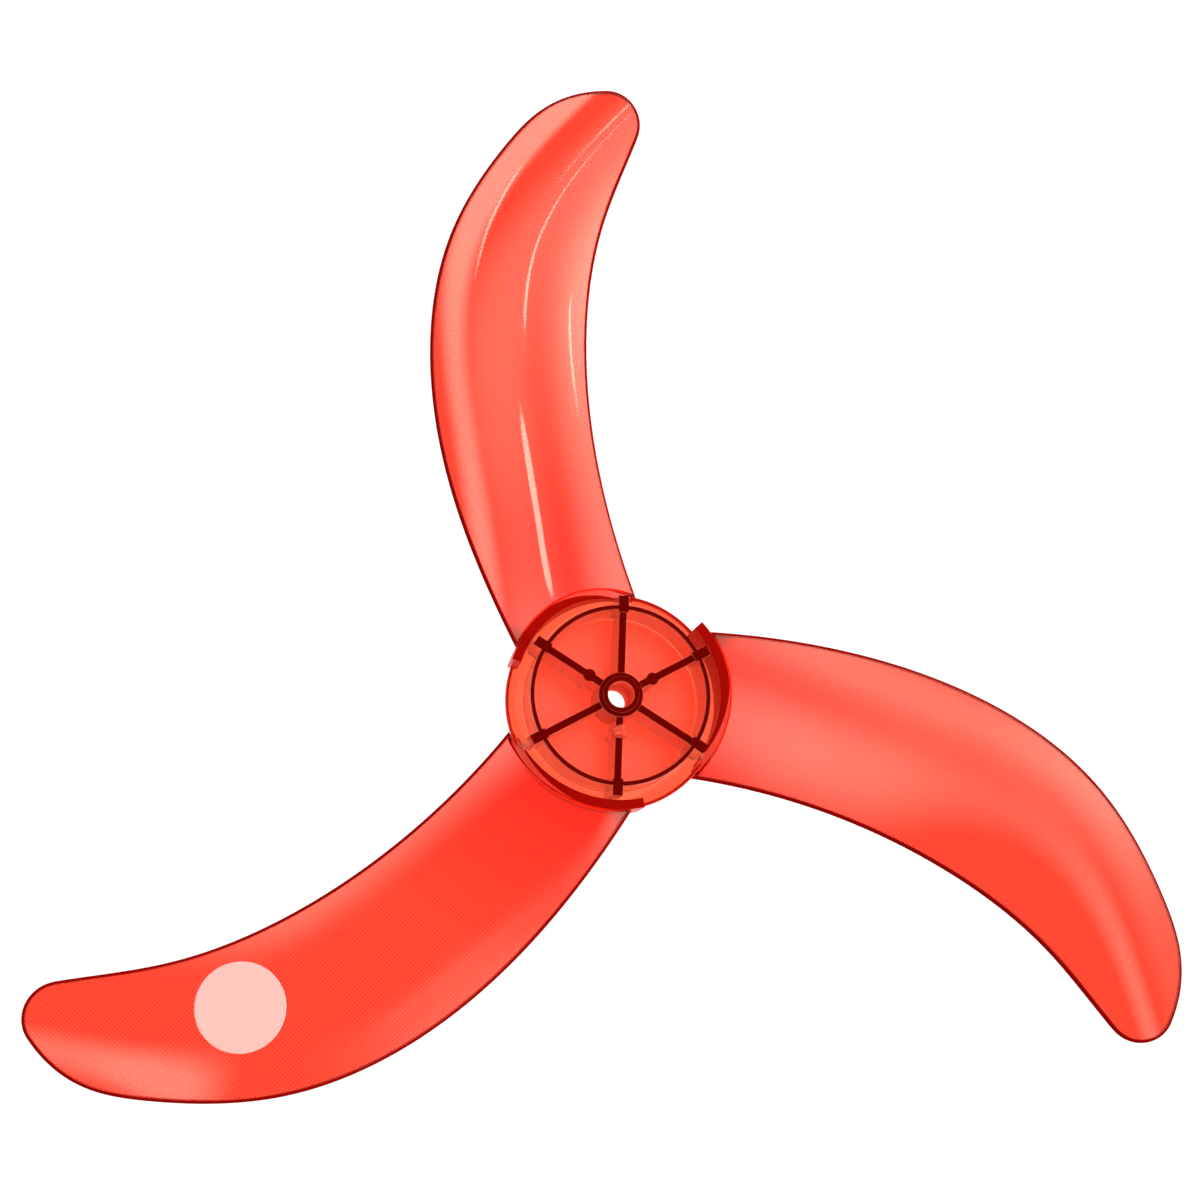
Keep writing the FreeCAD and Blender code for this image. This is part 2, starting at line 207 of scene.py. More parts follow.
# Hub section from the bore outwards along the front, then back over the rim, the ring and the boss
SOFT, CRISP, FOOT = 0.4 * MM, 0.25 * MM, 0.5 * MM
rim_top = RIM_LOW + RIM_THICKNESS
hub_section = rounded([
    (BORE, 0, CRISP),
    (FRONT_EDGE, 0, 0),
    *curved_run((FRONT_EDGE, 0), (RIM, RIM_LOW), FRONT_EDGE),
    (RIM, RIM_LOW, CRISP),
    (RIM, rim_top, SOFT),
    *curved_run((RIM, rim_top), (RING_OUTSIDE, FLOOR_THICKNESS), RING_OUTSIDE),
    (RING_OUTSIDE, FLOOR_THICKNESS, FOOT),
    (RING_OUTSIDE, HUB_HEIGHT, SOFT),
    (RING_INSIDE, HUB_HEIGHT, SOFT),
    (RING_INSIDE, FLOOR_THICKNESS, FOOT),
    (BOSS, FLOOR_THICKNESS, FOOT),
    (BOSS, HUB_HEIGHT, SOFT),
    (COLLAR, HUB_HEIGHT, 0),
    (COLLAR, HUB_HEIGHT + COLLAR_RISE, CRISP),
    (BORE, HUB_HEIGHT + COLLAR_RISE, CRISP),
])

lead_wire = edge_wire(LEAD_ROOT_LEAN, LEAD_EDGE, TIP_TURN_START, polar(LEAD_TIP_PULL, TIP_TURN_START - 90))
trail_wire = edge_wire(TRAIL_ROOT_LEAN, TRAIL_EDGE, TIP_TURN_END, polar(TRAIL_TIP_PULL, TIP_TURN_END + 90))
root_wire = [polar(WALL_MIDDLE, 90 + lean) for lean in np.linspace(TRAIL_ROOT_LEAN, LEAD_ROOT_LEAN, ROOT_STEPS)]

vertices, edges, wire_numbers = [], [], []
for number, wire in ((LEAD_WIRE, lead_wire), (TRAIL_WIRE, trail_wire), (ROOT_WIRE, root_wire),
                     (HUB_WIRE, [(x, -y) for x, y in reversed(hub_section)])):
    start = len(vertices)
    vertices += [(x, y, 0) for x, y in wire]
    edges += [(start + i, start + i + 1) for i in range(len(wire) - 1)]
    if number == HUB_WIRE:
        edges.append((len(vertices) - 1, start))
    wire_numbers += [number] * len(wire)
wires = bpy.data.meshes.new("moulding_wires")
wires.from_pydata(vertices, edges, [])
wires.attributes.new("wire", "INT", "POINT").data.foreach_set("value", wire_numbers)


def new_tree(name, inputs, outputs):
    """Empty node tree with named inputs and outputs, its two end nodes and the inputs' identifiers."""
    tree = bpy.data.node_groups.new(name, "GeometryNodeTree")
    identifiers = {}
    for label, kind in inputs:
        identifiers[label] = tree.interface.new_socket(label, in_out="INPUT", socket_type=kind).identifier
    for label, kind in outputs:
        tree.interface.new_socket(label, in_out="OUTPUT", socket_type=kind)
    return tree, add(tree, "NodeGroupInput").outputs, add(tree, "NodeGroupOutput").inputs, identifiers


GEOMETRY, VECTOR, NUMBER = "NodeSocketGeometry", "NodeSocketVector", "NodeSocketFloat"
COUNT, FINISH = "NodeSocketInt", "NodeSocketMaterial"

# Blade sheet: height of its middle surface over any place, and how much longer than thick it is cut upright.
# Across the blade the sheet is an arc of one radius. Crown and pitch run along the span as smooth curves.
sheet, sheet_in, sheet_out, _ = new_tree(
    "Blade sheet", [("Place", VECTOR), ("Camber radius", NUMBER), ("Tip radius", NUMBER)],
    [("Height", NUMBER), ("Slant", NUMBER)])
place = add(sheet, "ShaderNodeSeparateXYZ", {0: sheet_in["Place"]}).outputs
share = add(sheet, "ShaderNodeMath", {0: place["Y"], 1: sheet_in["Tip radius"]}, operation="DIVIDE")
shares = [station[0] for station in STATIONS]
runs = []
for column, unit in ((1, MM), (2, MM), (3, math.radians(1))):
    steps = np.polyfit(shares, [station[column] * unit for station in STATIONS], len(STATIONS) - 1)
    run = float(steps[0])
    for step in steps[1:]:
        run = add(sheet, "ShaderNodeMath", {0: run, 1: share, 2: float(step)}, operation="MULTIPLY_ADD")
    runs.append(run)
crown_across, crown_height, pitch = runs
pitch_sine = add(sheet, "ShaderNodeMath", {0: pitch}, operation="SINE")
pitch_cosine = add(sheet, "ShaderNodeMath", {0: pitch}, operation="COSINE")
lean_across = add(sheet, "ShaderNodeMath", {0: sheet_in["Camber radius"], 1: pitch_sine}, operation="MULTIPLY")
lean_down = add(sheet, "ShaderNodeMath", {0: sheet_in["Camber radius"], 1: pitch_cosine}, operation="MULTIPLY")
centre_across = add(sheet, "ShaderNodeMath", {0: crown_across, 1: lean_across}, operation="SUBTRACT")
centre_height = add(sheet, "ShaderNodeMath", {0: crown_height, 1: lean_down}, operation="SUBTRACT")
across = add(sheet, "ShaderNodeMath", {0: place["X"], 1: centre_across}, operation="SUBTRACT")
across_squared = add(sheet, "ShaderNodeMath", {0: across, 1: across}, operation="MULTIPLY")
radius_squared = add(sheet, "ShaderNodeMath", {0: sheet_in["Camber radius"], 1: 2.0}, operation="POWER")
rise_squared = add(sheet, "ShaderNodeMath", {0: radius_squared, 1: across_squared}, operation="SUBTRACT")
rise = add(sheet, "ShaderNodeMath", {0: rise_squared}, operation="SQRT")
height = add(sheet, "ShaderNodeMath", {0: centre_height, 1: rise}, operation="ADD")
slant = add(sheet, "ShaderNodeMath", {0: sheet_in["Camber radius"], 1: rise}, operation="DIVIDE")
sheet.links.new(height.outputs[0], sheet_out["Height"])
sheet.links.new(slant.outputs[0], sheet_out["Slant"])

# Tones of the plastic on each kind of face, and the share of light that goes clear through it. Light and shade are
# painted in: the sides of the ribs, the ring and the boss are painted pale as light. The tops, and less so the root
# walls' sides and the rim's outer edge, are painted darker and less clear as shade.
TONES = (
    ("#FFA896", 0.85),  # sides of the ribs, the ring and the boss
    ("#FF4024", 1.0),   # hub floor and front disc
    ("#FF3018", 1.0),   # blades
    ("#FA2A18", 0.35),  # sides of the root walls, outer edge of the rim
    ("#980804", 0.0),   # tops of the root walls
    ("#600301", 0.0),   # tops of the ribs, the ring and the boss
    ("#F04834", 0.5),   # gate stub
    ("#FF7A62", 0.0),   # bore
    ("#FF5C3C", 1.0),   # dish between the ring and the rim
)
SIDE_PAINTED_LIGHT, HUB_FLOOR, BLADE_FACE, WALL_SIDE_SHADE, WALL_TOP_SHADE, RIB_TOP_SHADE, GATE_STUB, BORE_FACE, RIM_DISH = range(len(TONES))

# How far the painted shade reaches in from a blade's edge, and out from its leading root corner
EDGE_DARK_WITHIN, EDGE_CLEAR_PAST = 0.95 * MM, 1.25 * MM
CORNER_DARK_WITHIN, CORNER_CLEAR_PAST, CORNER_DEPTH = 1.5 * MM, 9.0 * MM, 0.9
CORNER_OUT, CORNER_LEAN_BACK = 2.0 * MM, 3

# Edges flatter than this are shaded smooth. A top faces up at least so far, and a side at most so far.
SMOOTH_BELOW = math.radians(10)
TOP_UPWARD, SIDE_UPWARD = 0.6, 0.5
BORE_SLACK, RIM_BAND = 0.1 * MM, 0.6 * MM

# Moulding: the turned hub, its ribs, and the blades with their root walls, joined into one closed skin
MOULDING_SIZES = (
    ("Blade count", COUNT, BLADE_COUNT),
    ("Span rows", COUNT, 150),
    ("Chord columns", COUNT, 56),
    ("Turn steps", COUNT, 192),
    ("Tip radius", NUMBER, TIP_RADIUS),
    ("Camber radius", NUMBER, CAMBER_RADIUS),
    ("Root thickness", NUMBER, ROOT_THICKNESS),
    ("Tip thickness", NUMBER, TIP_THICKNESS),
    ("Edge round", NUMBER, 1.0 * MM),
    ("Ripple height", NUMBER, 0.05 * MM),
    ("Ripple length", NUMBER, 28.0 * MM),
    ("Wall radius", NUMBER, WALL_RADIUS),
    ("Wall thickness", NUMBER, WALL_THICKNESS),
    ("Wall base", NUMBER, WALL_BASE),
    ("Wall proud", NUMBER, WALL_PROUD),
    ("Wall sunk", NUMBER, WALL_SUNK),
    ("Hub height", NUMBER, HUB_HEIGHT),
    ("Rib count", COUNT, RIB_COUNT),
    ("Post count", COUNT, POST_COUNT),
    ("Corner round", NUMBER, 0.35 * MM),
)
moulding, sizes, moulding_out, identifiers = new_tree(
    "Impeller moulding",
    [("Wires", GEOMETRY), *((name, kind) for name, kind, _ in MOULDING_SIZES), ("Plastic", FINISH)],
    [("Moulding", GEOMETRY)])
wire_number = add(moulding, "GeometryNodeInputNamedAttribute", {"Name": "wire"}, data_type="INT")
wire_parts = {}
for number in (LEAD_WIRE, TRAIL_WIRE, HUB_WIRE):
    chosen = add(moulding, "FunctionNodeCompare", {2: wire_number, 3: number}, data_type="INT", operation="EQUAL")
    part = add(moulding, "GeometryNodeSeparateGeometry", {0: sizes["Wires"], 1: chosen})
    wire_parts[number] = add(moulding, "GeometryNodeMeshToCurve", {0: part.outputs["Selection"]})
is_edge = add(moulding, "FunctionNodeCompare", {2: wire_number, 3: HUB_WIRE}, data_type="INT",
              operation="LESS_THAN")
outline_wires = add(moulding, "GeometryNodeSeparateGeometry", {0: sizes["Wires"], 1: is_edge})

# Flat patch between the two edges: rows bend round the axis, and crowd towards the edges and the tip
TIP_CROWDING, EDGE_CROWDING, EVEN_SHARE, INSIDE_SHARE = 1.6, 0.45, 0.1, 0.4999
patch = add(moulding, "GeometryNodeMeshGrid", {"Size X": 1.0, "Size Y": 1.0, "Vertices X": sizes["Span rows"],
                                               "Vertices Y": sizes["Chord columns"]})
grid_place = add(moulding, "ShaderNodeSeparateXYZ", {0: add(moulding, "GeometryNodeInputPosition")}).outputs
to_tip = add(moulding, "ShaderNodeMath", {0: 0.5, 1: grid_place["X"]}, operation="SUBTRACT")
to_tip_crowded = add(moulding, "ShaderNodeMath", {0: to_tip, 1: TIP_CROWDING}, operation="POWER")
along_share = add(moulding, "ShaderNodeMath", {0: 1.0, 1: to_tip_crowded}, operation="SUBTRACT")
chord_turn = add(moulding, "ShaderNodeMath", {0: grid_place["Y"], 1: math.pi}, operation="MULTIPLY")
chord_sine = add(moulding, "ShaderNodeMath", {0: chord_turn}, operation="SINE")
chord_crowded = add(moulding, "ShaderNodeMath", {0: chord_sine, 1: EDGE_CROWDING, 2: 0.5}, operation="MULTIPLY_ADD")
chord_share = add(moulding, "ShaderNodeMath", {0: grid_place["Y"], 1: EVEN_SHARE, 2: chord_crowded},
                  operation="MULTIPLY_ADD")
edge_radii, edge_turns = [], []
for number in (TRAIL_WIRE, LEAD_WIRE):
    on_edge = add(moulding, "GeometryNodeSampleCurve", {"Curves": wire_parts[number], "Factor": along_share},
                  mode="FACTOR").outputs["Position"]
    on_edge_parts = add(moulding, "ShaderNodeSeparateXYZ", {0: on_edge}).outputs
    edge_radii.append(add(moulding, "ShaderNodeVectorMath", {0: on_edge}, operation="LENGTH").outputs["Value"])
    edge_turns.append(add(moulding, "ShaderNodeMath", {0: on_edge_parts["Y"], 1: on_edge_parts["X"]},
                          operation="ARCTAN2"))
row_radius = add(moulding, "ShaderNodeMix", {"Factor": chord_share, 2: edge_radii[0], 3: edge_radii[1]})
row_turn = add(moulding, "ShaderNodeMix", {"Factor": chord_share, 2: edge_turns[0], 3: edge_turns[1]})
row_sine = add(moulding, "ShaderNodeMath", {0: row_turn}, operation="SINE")
row_cosine = add(moulding, "ShaderNodeMath", {0: row_turn}, operation="COSINE")
flat_place = add(moulding, "ShaderNodeCombineXYZ", {
    "X": add(moulding, "ShaderNodeMath", {0: row_radius, 1: row_cosine}, operation="MULTIPLY"),
    "Y": add(moulding, "ShaderNodeMath", {0: row_radius, 1: row_sine}, operation="MULTIPLY")})
inside = 1.0
for axis in ("X", "Y"):
    inset = add(moulding, "ShaderNodeMath", {0: grid_place[axis], 1: 0.0, 2: INSIDE_SHARE}, operation="COMPARE")
    inside = add(moulding, "ShaderNodeMath", {0: inset, 1: inside}, operation="MULTIPLY")
patch = add(moulding, "GeometryNodeStoreNamedAttribute", {
    "Geometry": patch, "Name": "inside_outline", "Value": inside}, data_type="FLOAT", domain="POINT")
flat_patch = add(moulding, "GeometryNodeSetPosition", {"Geometry": patch, "Position": flat_place})

# Two skins, one each side of the sheet's middle surface, that meet in a round edge all the way round
position = add(moulding, "GeometryNodeInputPosition")
position_parts = add(moulding, "ShaderNodeSeparateXYZ", {0: position}).outputs
edge_distance = add(moulding, "GeometryNodeProximity", {"Geometry": outline_wires, "Sample Position": position},
                    target_element="EDGES").outputs["Distance"]
# Painted shade: how deep the blade is painted near its edges and near its leading root corner, kept for the finish
root_corner = (*polar(WALL_MIDDLE + CORNER_OUT, 90 + LEAD_ROOT_LEAN - CORNER_LEAN_BACK), 0)
from_corner = add(moulding, "ShaderNodeVectorMath", {0: position, 1: root_corner},
                  operation="DISTANCE").outputs["Value"]
for name, distance, dark_within, clear_past, depth in (
        ("edge_shade", edge_distance, EDGE_DARK_WITHIN, EDGE_CLEAR_PAST, 1.0),
        ("corner_shade", from_corner, CORNER_DARK_WITHIN, CORNER_CLEAR_PAST, CORNER_DEPTH)):
    shade = add(moulding, "ShaderNodeMapRange", {"Value": distance, "From Min": dark_within, "From Max": clear_past,
                                                 "To Min": depth, "To Max": 0.0}).outputs[0]
    flat_patch = add(moulding, "GeometryNodeStoreNamedAttribute", {
        "Geometry": flat_patch, "Name": name, "Value": shade}, data_type="FLOAT", domain="POINT")
edge_share = add(moulding, "ShaderNodeMath", {0: edge_distance, 1: sizes["Edge round"]}, operation="DIVIDE",
                 use_clamp=True)
edge_gap = add(moulding, "ShaderNodeMath", {0: 1.0, 1: edge_share}, operation="SUBTRACT")
edge_gap_squared = add(moulding, "ShaderNodeMath", {0: edge_gap, 1: edge_gap}, operation="MULTIPLY")
edge_fall = add(moulding, "ShaderNodeMath", {0: 1.0, 1: edge_gap_squared}, operation="SUBTRACT")
edge_form = add(moulding, "ShaderNodeMath", {0: edge_fall}, operation="SQRT")
inside_outline = add(moulding, "GeometryNodeInputNamedAttribute", {"Name": "inside_outline"}, data_type="FLOAT")
edge_form = add(moulding, "ShaderNodeMath", {0: edge_form, 1: inside_outline}, operation="MULTIPLY")
span_share = add(moulding, "ShaderNodeMath", {0: position_parts["Y"], 1: sizes["Tip radius"]}, operation="DIVIDE")
thickness = add(moulding, "ShaderNodeMix", {"Factor": span_share, 2: sizes["Root thickness"],
                                            3: sizes["Tip thickness"]})
half_thickness = add(moulding, "ShaderNodeMath", {0: thickness, 1: 0.5}, operation="MULTIPLY")
sheet_here = add(moulding, "GeometryNodeGroup", node_tree=sheet)
for name, source in (("Place", position.outputs[0]), ("Camber radius", sizes["Camber radius"]),
                     ("Tip radius", sizes["Tip radius"])):
    moulding.links.new(source, sheet_here.inputs[name])
upright_half = add(moulding, "ShaderNodeMath", {0: half_thickness, 1: sheet_here.outputs["Slant"]},
                   operation="MULTIPLY")
edged_half = add(moulding, "ShaderNodeMath", {0: upright_half, 1: edge_form}, operation="MULTIPLY")
ripple_scale = add(moulding, "ShaderNodeMath", {0: 1.0, 1: sizes["Ripple length"]}, operation="DIVIDE")
RIPPLE_SHIFT = 0.1
skins = []
for side in (1.0, -1.0):
    ripple_place = add(moulding, "ShaderNodeVectorMath", {0: position, 1: (0.0, 0.0, RIPPLE_SHIFT * side)},
                       operation="ADD")
    noise = add(moulding, "ShaderNodeTexNoise", {"Vector": ripple_place, "Scale": ripple_scale, "Detail": 1.0})
    swell = add(moulding, "ShaderNodeMath", {0: noise.outputs[0], 1: 0.5}, operation="SUBTRACT")
    swell = add(moulding, "ShaderNodeMath", {0: swell, 1: sizes["Ripple height"]}, operation="MULTIPLY")
    swell = add(moulding, "ShaderNodeMath", {0: swell, 1: edge_form}, operation="MULTIPLY")
    skin_height = add(moulding, "ShaderNodeMath", {0: edged_half, 1: side, 2: sheet_here.outputs["Height"]},
                      operation="MULTIPLY_ADD")
    skin_height = add(moulding, "ShaderNodeMath", {0: skin_height, 1: swell}, operation="ADD")
    skin_place = add(moulding, "ShaderNodeCombineXYZ", {"X": position_parts["X"], "Y": position_parts["Y"],
                                                        "Z": skin_height})
    skins.append(add(moulding, "GeometryNodeSetPosition", {"Geometry": flat_patch, "Position": skin_place}))
skins[1] = add(moulding, "GeometryNodeFlipFaces", {"Mesh": skins[1]})
blade = add(moulding, "GeometryNodeJoinGeometry", {0: skins})
blade = add(moulding, "GeometryNodeMergeByDistance", {"Geometry": blade, "Distance": SEAM_WELD})
blade = add(moulding, "GeometryNodeStoreNamedAttribute", {"Geometry": blade, "Name": "blade_skin", "Value": 1.0},
            data_type="FLOAT", domain="FACE")

# Root wall: a stretch of a ring whose top follows the blade sheet, sunk at its trailing end and a little proud
# of the sheet towards its leading end
wall_line = add(moulding, "GeometryNodeCurveArc", {
    "Resolution": WALL_STEPS, "Radius": sizes["Wall radius"], "Start Angle": math.radians(90 + WALL_START_LEAN),
    "Sweep Angle": math.radians(WALL_END_LEAN - WALL_START_LEAN)}, mode="RADIUS")
along_wall = add(moulding, "GeometryNodeSplineParameter").outputs["Factor"]
wall_line = add(moulding, "GeometryNodeStoreNamedAttribute", {
    "Geometry": wall_line, "Name": "wall_run", "Value": along_wall}, data_type="FLOAT", domain="POINT")
UNIT, PROUD_FROM = 10.0 * MM, 0.5
wall_form = add(moulding, "GeometryNodeCurvePrimitiveQuadrilateral", {"Width": sizes["Wall thickness"],
                                                                     "Height": UNIT}, mode="RECTANGLE")
wall_form = add(moulding, "GeometryNodeFilletCurve", {"Curve": wall_form, "Count": CORNER_STEPS,
                                                      "Radius": sizes["Corner round"]}, mode="POLY")
wall = add(moulding, "GeometryNodeCurveToMesh", {"Curve": wall_line, "Profile Curve": wall_form, "Fill Caps": True})
wall_rise = add(moulding, "ShaderNodeMath", {0: position_parts["Z"], 1: 1 / UNIT, 2: 0.5}, operation="MULTIPLY_ADD")
wall_run = add(moulding, "GeometryNodeInputNamedAttribute", {"Name": "wall_run"}, data_type="FLOAT").outputs[0]
sunk_depth = add(moulding, "ShaderNodeMath", {0: 0.0, 1: sizes["Wall sunk"]}, operation="SUBTRACT")
proud = add(moulding, "ShaderNodeMapRange", {"Value": wall_run, "From Max": PROUD_FROM, "To Min": sunk_depth,
                                             "To Max": sizes["Wall proud"]}).outputs[0]
proud_half = add(moulding, "ShaderNodeMath", {0: half_thickness, 1: proud}, operation="ADD")
wall_top = add(moulding, "ShaderNodeMath", {0: proud_half, 1: sheet_here.outputs["Slant"],
                                            2: sheet_here.outputs["Height"]}, operation="MULTIPLY_ADD")
wall_top = add(moulding, "ShaderNodeMath", {0: wall_top, 1: sizes["Hub height"]}, operation="MINIMUM")
wall_height = add(moulding, "ShaderNodeMix", {"Factor": wall_rise, 2: sizes["Wall base"], 3: wall_top})
wall_place = add(moulding, "ShaderNodeCombineXYZ", {"X": position_parts["X"], "Y": position_parts["Y"],
                                                    "Z": wall_height})
wall = add(moulding, "GeometryNodeSetPosition", {"Geometry": wall, "Position": wall_place})
wall = add(moulding, "GeometryNodeStoreNamedAttribute", {"Geometry": wall, "Name": "wall_skin", "Value": 1.0},
           data_type="FLOAT", domain="FACE")

# Hub, turned from its section
turn_line = add(moulding, "GeometryNodeCurvePrimitiveCircle", {"Resolution": sizes["Turn steps"],
                                                               "Radius": AXIS_LINE})
hub = add(moulding, "GeometryNodeCurveToMesh", {"Curve": turn_line, "Profile Curve": wire_parts[HUB_WIRE]})

# Rib bars along +Y: each is a run of a rounded form from an inner to an outer radius
bars = []
ring_middle, floor_middle = (RING_INSIDE + RING_OUTSIDE) / 2, FLOOR_THICKNESS / 2
BLOCK_DROP = 0.02 * MM
for width, inner, outer, low, high in (
        (RIB_WIDTH, (BORE + BOSS) / 2, ring_middle, floor_middle, HUB_HEIGHT - RIB_DROP),
        (BLOCK_WIDTH, BLOCK_INSIDE, BLOCK_OUTSIDE, floor_middle, HUB_HEIGHT - BLOCK_DROP)):
    bar_form = add(moulding, "GeometryNodeCurvePrimitiveQuadrilateral", {"Width": width, "Height": high - low},
                   mode="RECTANGLE")
    bar_form = add(moulding, "GeometryNodeFilletCurve", {"Curve": bar_form, "Count": CORNER_STEPS,
                                                         "Radius": sizes["Corner round"]}, mode="POLY")
    bar_line = add(moulding, "GeometryNodeCurvePrimitiveLine", {
        "Start": (0, inner, (low + high) / 2), "End": (0, outer, (low + high) / 2)})
    bars.append(add(moulding, "GeometryNodeCurveToMesh", {"Curve": bar_line, "Profile Curve": bar_form,
                                                          "Fill Caps": True}))
buttress_form = add(moulding, "GeometryNodeCurvePrimitiveQuadrilateral", {
    "Point 1": (-(RIM - RIM_THICKNESS / 4), -(rim_top - RIM_THICKNESS / 2), 0),
    "Point 2": (-BLOCK_OUTSIDE, BUTTRESS_DROP - HUB_HEIGHT, 0),
    "Point 3": (-ring_middle, BUTTRESS_DROP - HUB_HEIGHT, 0),
    "Point 4": (-ring_middle, -floor_middle, 0)}, mode="POINTS")
buttress_line = add(moulding, "GeometryNodeCurvePrimitiveLine", {"Start": (-BUTTRESS_WIDTH / 2, 0, 0),
                                                                 "End": (BUTTRESS_WIDTH / 2, 0, 0)})
bars.append(add(moulding, "GeometryNodeCurveToMesh", {"Curve": buttress_line, "Profile Curve": buttress_form,
                                                      "Fill Caps": True}))
post = add(moulding, "GeometryNodeMeshCylinder", {"Vertices": POST_STEPS, "Radius": POST_DIAMETER / 2,
                                                  "Depth": POST_REAR - floor_middle})
post_middle = (POST_REAR + floor_middle) / 2
post = add(moulding, "GeometryNodeTransform", {"Geometry": post.outputs["Mesh"],
                                               "Translation": (0, -POST_RADIUS, post_middle)})

# Gate stub: what is left of the sprue after it was snapped off, on the rib that the plastic came in by
stub = add(moulding, "GeometryNodeMeshIcoSphere", {"Radius": STUB_RADIUS, "Subdivisions": 4})
stub_noise = add(moulding, "ShaderNodeTexNoise", {"Scale": 1 / STUB_RADIUS, "Detail": 2.0}).outputs["Color"]
stub_pull = add(moulding, "ShaderNodeVectorMath", {0: stub_noise, 1: (0.5, 0.5, 0.5)}, operation="SUBTRACT")
stub_pull = add(moulding, "ShaderNodeVectorMath", {0: stub_pull, "Scale": STUB_TEAR * STUB_RADIUS},
                operation="SCALE")
stub = add(moulding, "GeometryNodeSetPosition", {"Geometry": stub.outputs["Mesh"], "Offset": stub_pull})
stub = add(moulding, "GeometryNodeTransform", {"Geometry": stub,
                                               "Translation": (0, -POST_RADIUS, POST_REAR - STUB_SUNK)})
stub = add(moulding, "GeometryNodeStoreNamedAttribute", {"Geometry": stub, "Name": "gate_skin", "Value": 1.0},
           data_type="FLOAT", domain="FACE")

# Each repeated piece goes round the axis as often as its count
repeats = []
for form, count in ((blade, "Blade count"), (wall, "Blade count"), *((bar, "Rib count") for bar in bars),
                    (post, "Post count")):
    centres = add(moulding, "GeometryNodePoints", {"Count": sizes[count]})
    number = add(moulding, "GeometryNodeInputIndex")
    turn = add(moulding, "ShaderNodeMath", {0: math.tau, 1: sizes[count]}, operation="DIVIDE")
    turn = add(moulding, "ShaderNodeMath", {0: number, 1: turn}, operation="MULTIPLY")
    turn = add(moulding, "ShaderNodeCombineXYZ", {"Z": turn})
    turned = add(moulding, "GeometryNodeInstanceOnPoints", {"Points": centres, "Instance": form, "Rotation": turn})
    repeats.append(add(moulding, "GeometryNodeRealizeInstances", {"Geometry": turned}))
joined = add(moulding, "GeometryNodeMeshBoolean", {"Mesh 2": [hub, *repeats, stub]}, operation="UNION",
             solver="MANIFOLD")
is_smooth = add(moulding, "FunctionNodeCompare", {0: add(moulding, "GeometryNodeInputMeshEdgeAngle"),
                                                  1: SMOOTH_BELOW}, data_type="FLOAT", operation="LESS_THAN")
shaded = add(moulding, "GeometryNodeSetShadeSmooth", {"Geometry": joined.outputs["Mesh"], "Shade Smooth": True},
             domain="FACE")
shaded = add(moulding, "GeometryNodeSetShadeSmooth", {"Geometry": shaded, "Shade Smooth": is_smooth}, domain="EDGE")

# Tone of each face, from what it belongs to and whether it faces up. Light and shade are painted in: the tops of
# the ribs, ring, boss and walls take painted shade, and the sides of the ribs, ring and boss painted light.
face_height = add(moulding, "ShaderNodeSeparateXYZ", {0: add(moulding, "GeometryNodeInputPosition")}).outputs["Z"]
face_upward = add(moulding, "ShaderNodeSeparateXYZ", {0: add(moulding, "GeometryNodeInputNormal")}).outputs["Z"]
on_blade, on_wall, on_stub = (
    add(moulding, "ShaderNodeMath", {0: add(moulding, "GeometryNodeInputNamedAttribute", {"Name": name},
                                            data_type="FLOAT"), 1: 0.5}, operation="GREATER_THAN")
    for name in ("blade_skin", "wall_skin", "gate_skin"))
is_high = add(moulding, "ShaderNodeMath", {0: face_height, 1: rim_top}, operation="GREATER_THAN")
is_top = add(moulding, "ShaderNodeMath", {0: face_upward, 1: TOP_UPWARD}, operation="GREATER_THAN")
flatness = add(moulding, "ShaderNodeMath", {0: face_upward}, operation="ABSOLUTE")
is_side = add(moulding, "ShaderNodeMath", {0: flatness, 1: SIDE_UPWARD}, operation="LESS_THAN")
face_flat = add(moulding, "ShaderNodeVectorMath", {0: add(moulding, "GeometryNodeInputPosition"), 1: (1, 1, 0)},
                operation="MULTIPLY")
face_radius = add(moulding, "ShaderNodeVectorMath", {0: face_flat}, operation="LENGTH").outputs["Value"]
in_bore = add(moulding, "ShaderNodeMath", {0: face_radius, 1: BORE + BORE_SLACK}, operation="LESS_THAN")
at_rim = add(moulding, "ShaderNodeMath", {0: face_radius, 1: RIM - RIM_BAND}, operation="GREATER_THAN")
past_ring = add(moulding, "ShaderNodeMath", {0: face_radius, 1: RING_OUTSIDE}, operation="GREATER_THAN")
on_rib_top, on_wall_top = (add(moulding, "ShaderNodeMath", {0: place_there, 1: is_top}, operation="MULTIPLY")
                           for place_there in (is_high, on_wall))
face_tone = float(HUB_FLOOR)
for chosen, tone_there in ((past_ring, RIM_DISH), (is_side, SIDE_PAINTED_LIGHT), (is_high, SIDE_PAINTED_LIGHT), (at_rim, WALL_SIDE_SHADE),
                           (on_rib_top, RIB_TOP_SHADE), (on_wall, WALL_SIDE_SHADE), (on_wall_top, WALL_TOP_SHADE),
                           (on_stub, GATE_STUB), (on_blade, BLADE_FACE), (in_bore, BORE_FACE)):
    face_tone = add(moulding, "ShaderNodeMix", {"Factor": chosen, 2: face_tone, 3: float(tone_there)})
shaded = add(moulding, "GeometryNodeStoreNamedAttribute", {"Geometry": shaded, "Name": "tone", "Value": face_tone},
             data_type="FLOAT", domain="FACE")
shaded = add(moulding, "GeometryNodeRealizeInstances", {"Geometry": shaded})
shaded = add(moulding, "GeometryNodeSetMaterial", {"Geometry": shaded, "Material": sizes["Plastic"]})
moulding.links.new(shaded.outputs[0], moulding_out["Moulding"])

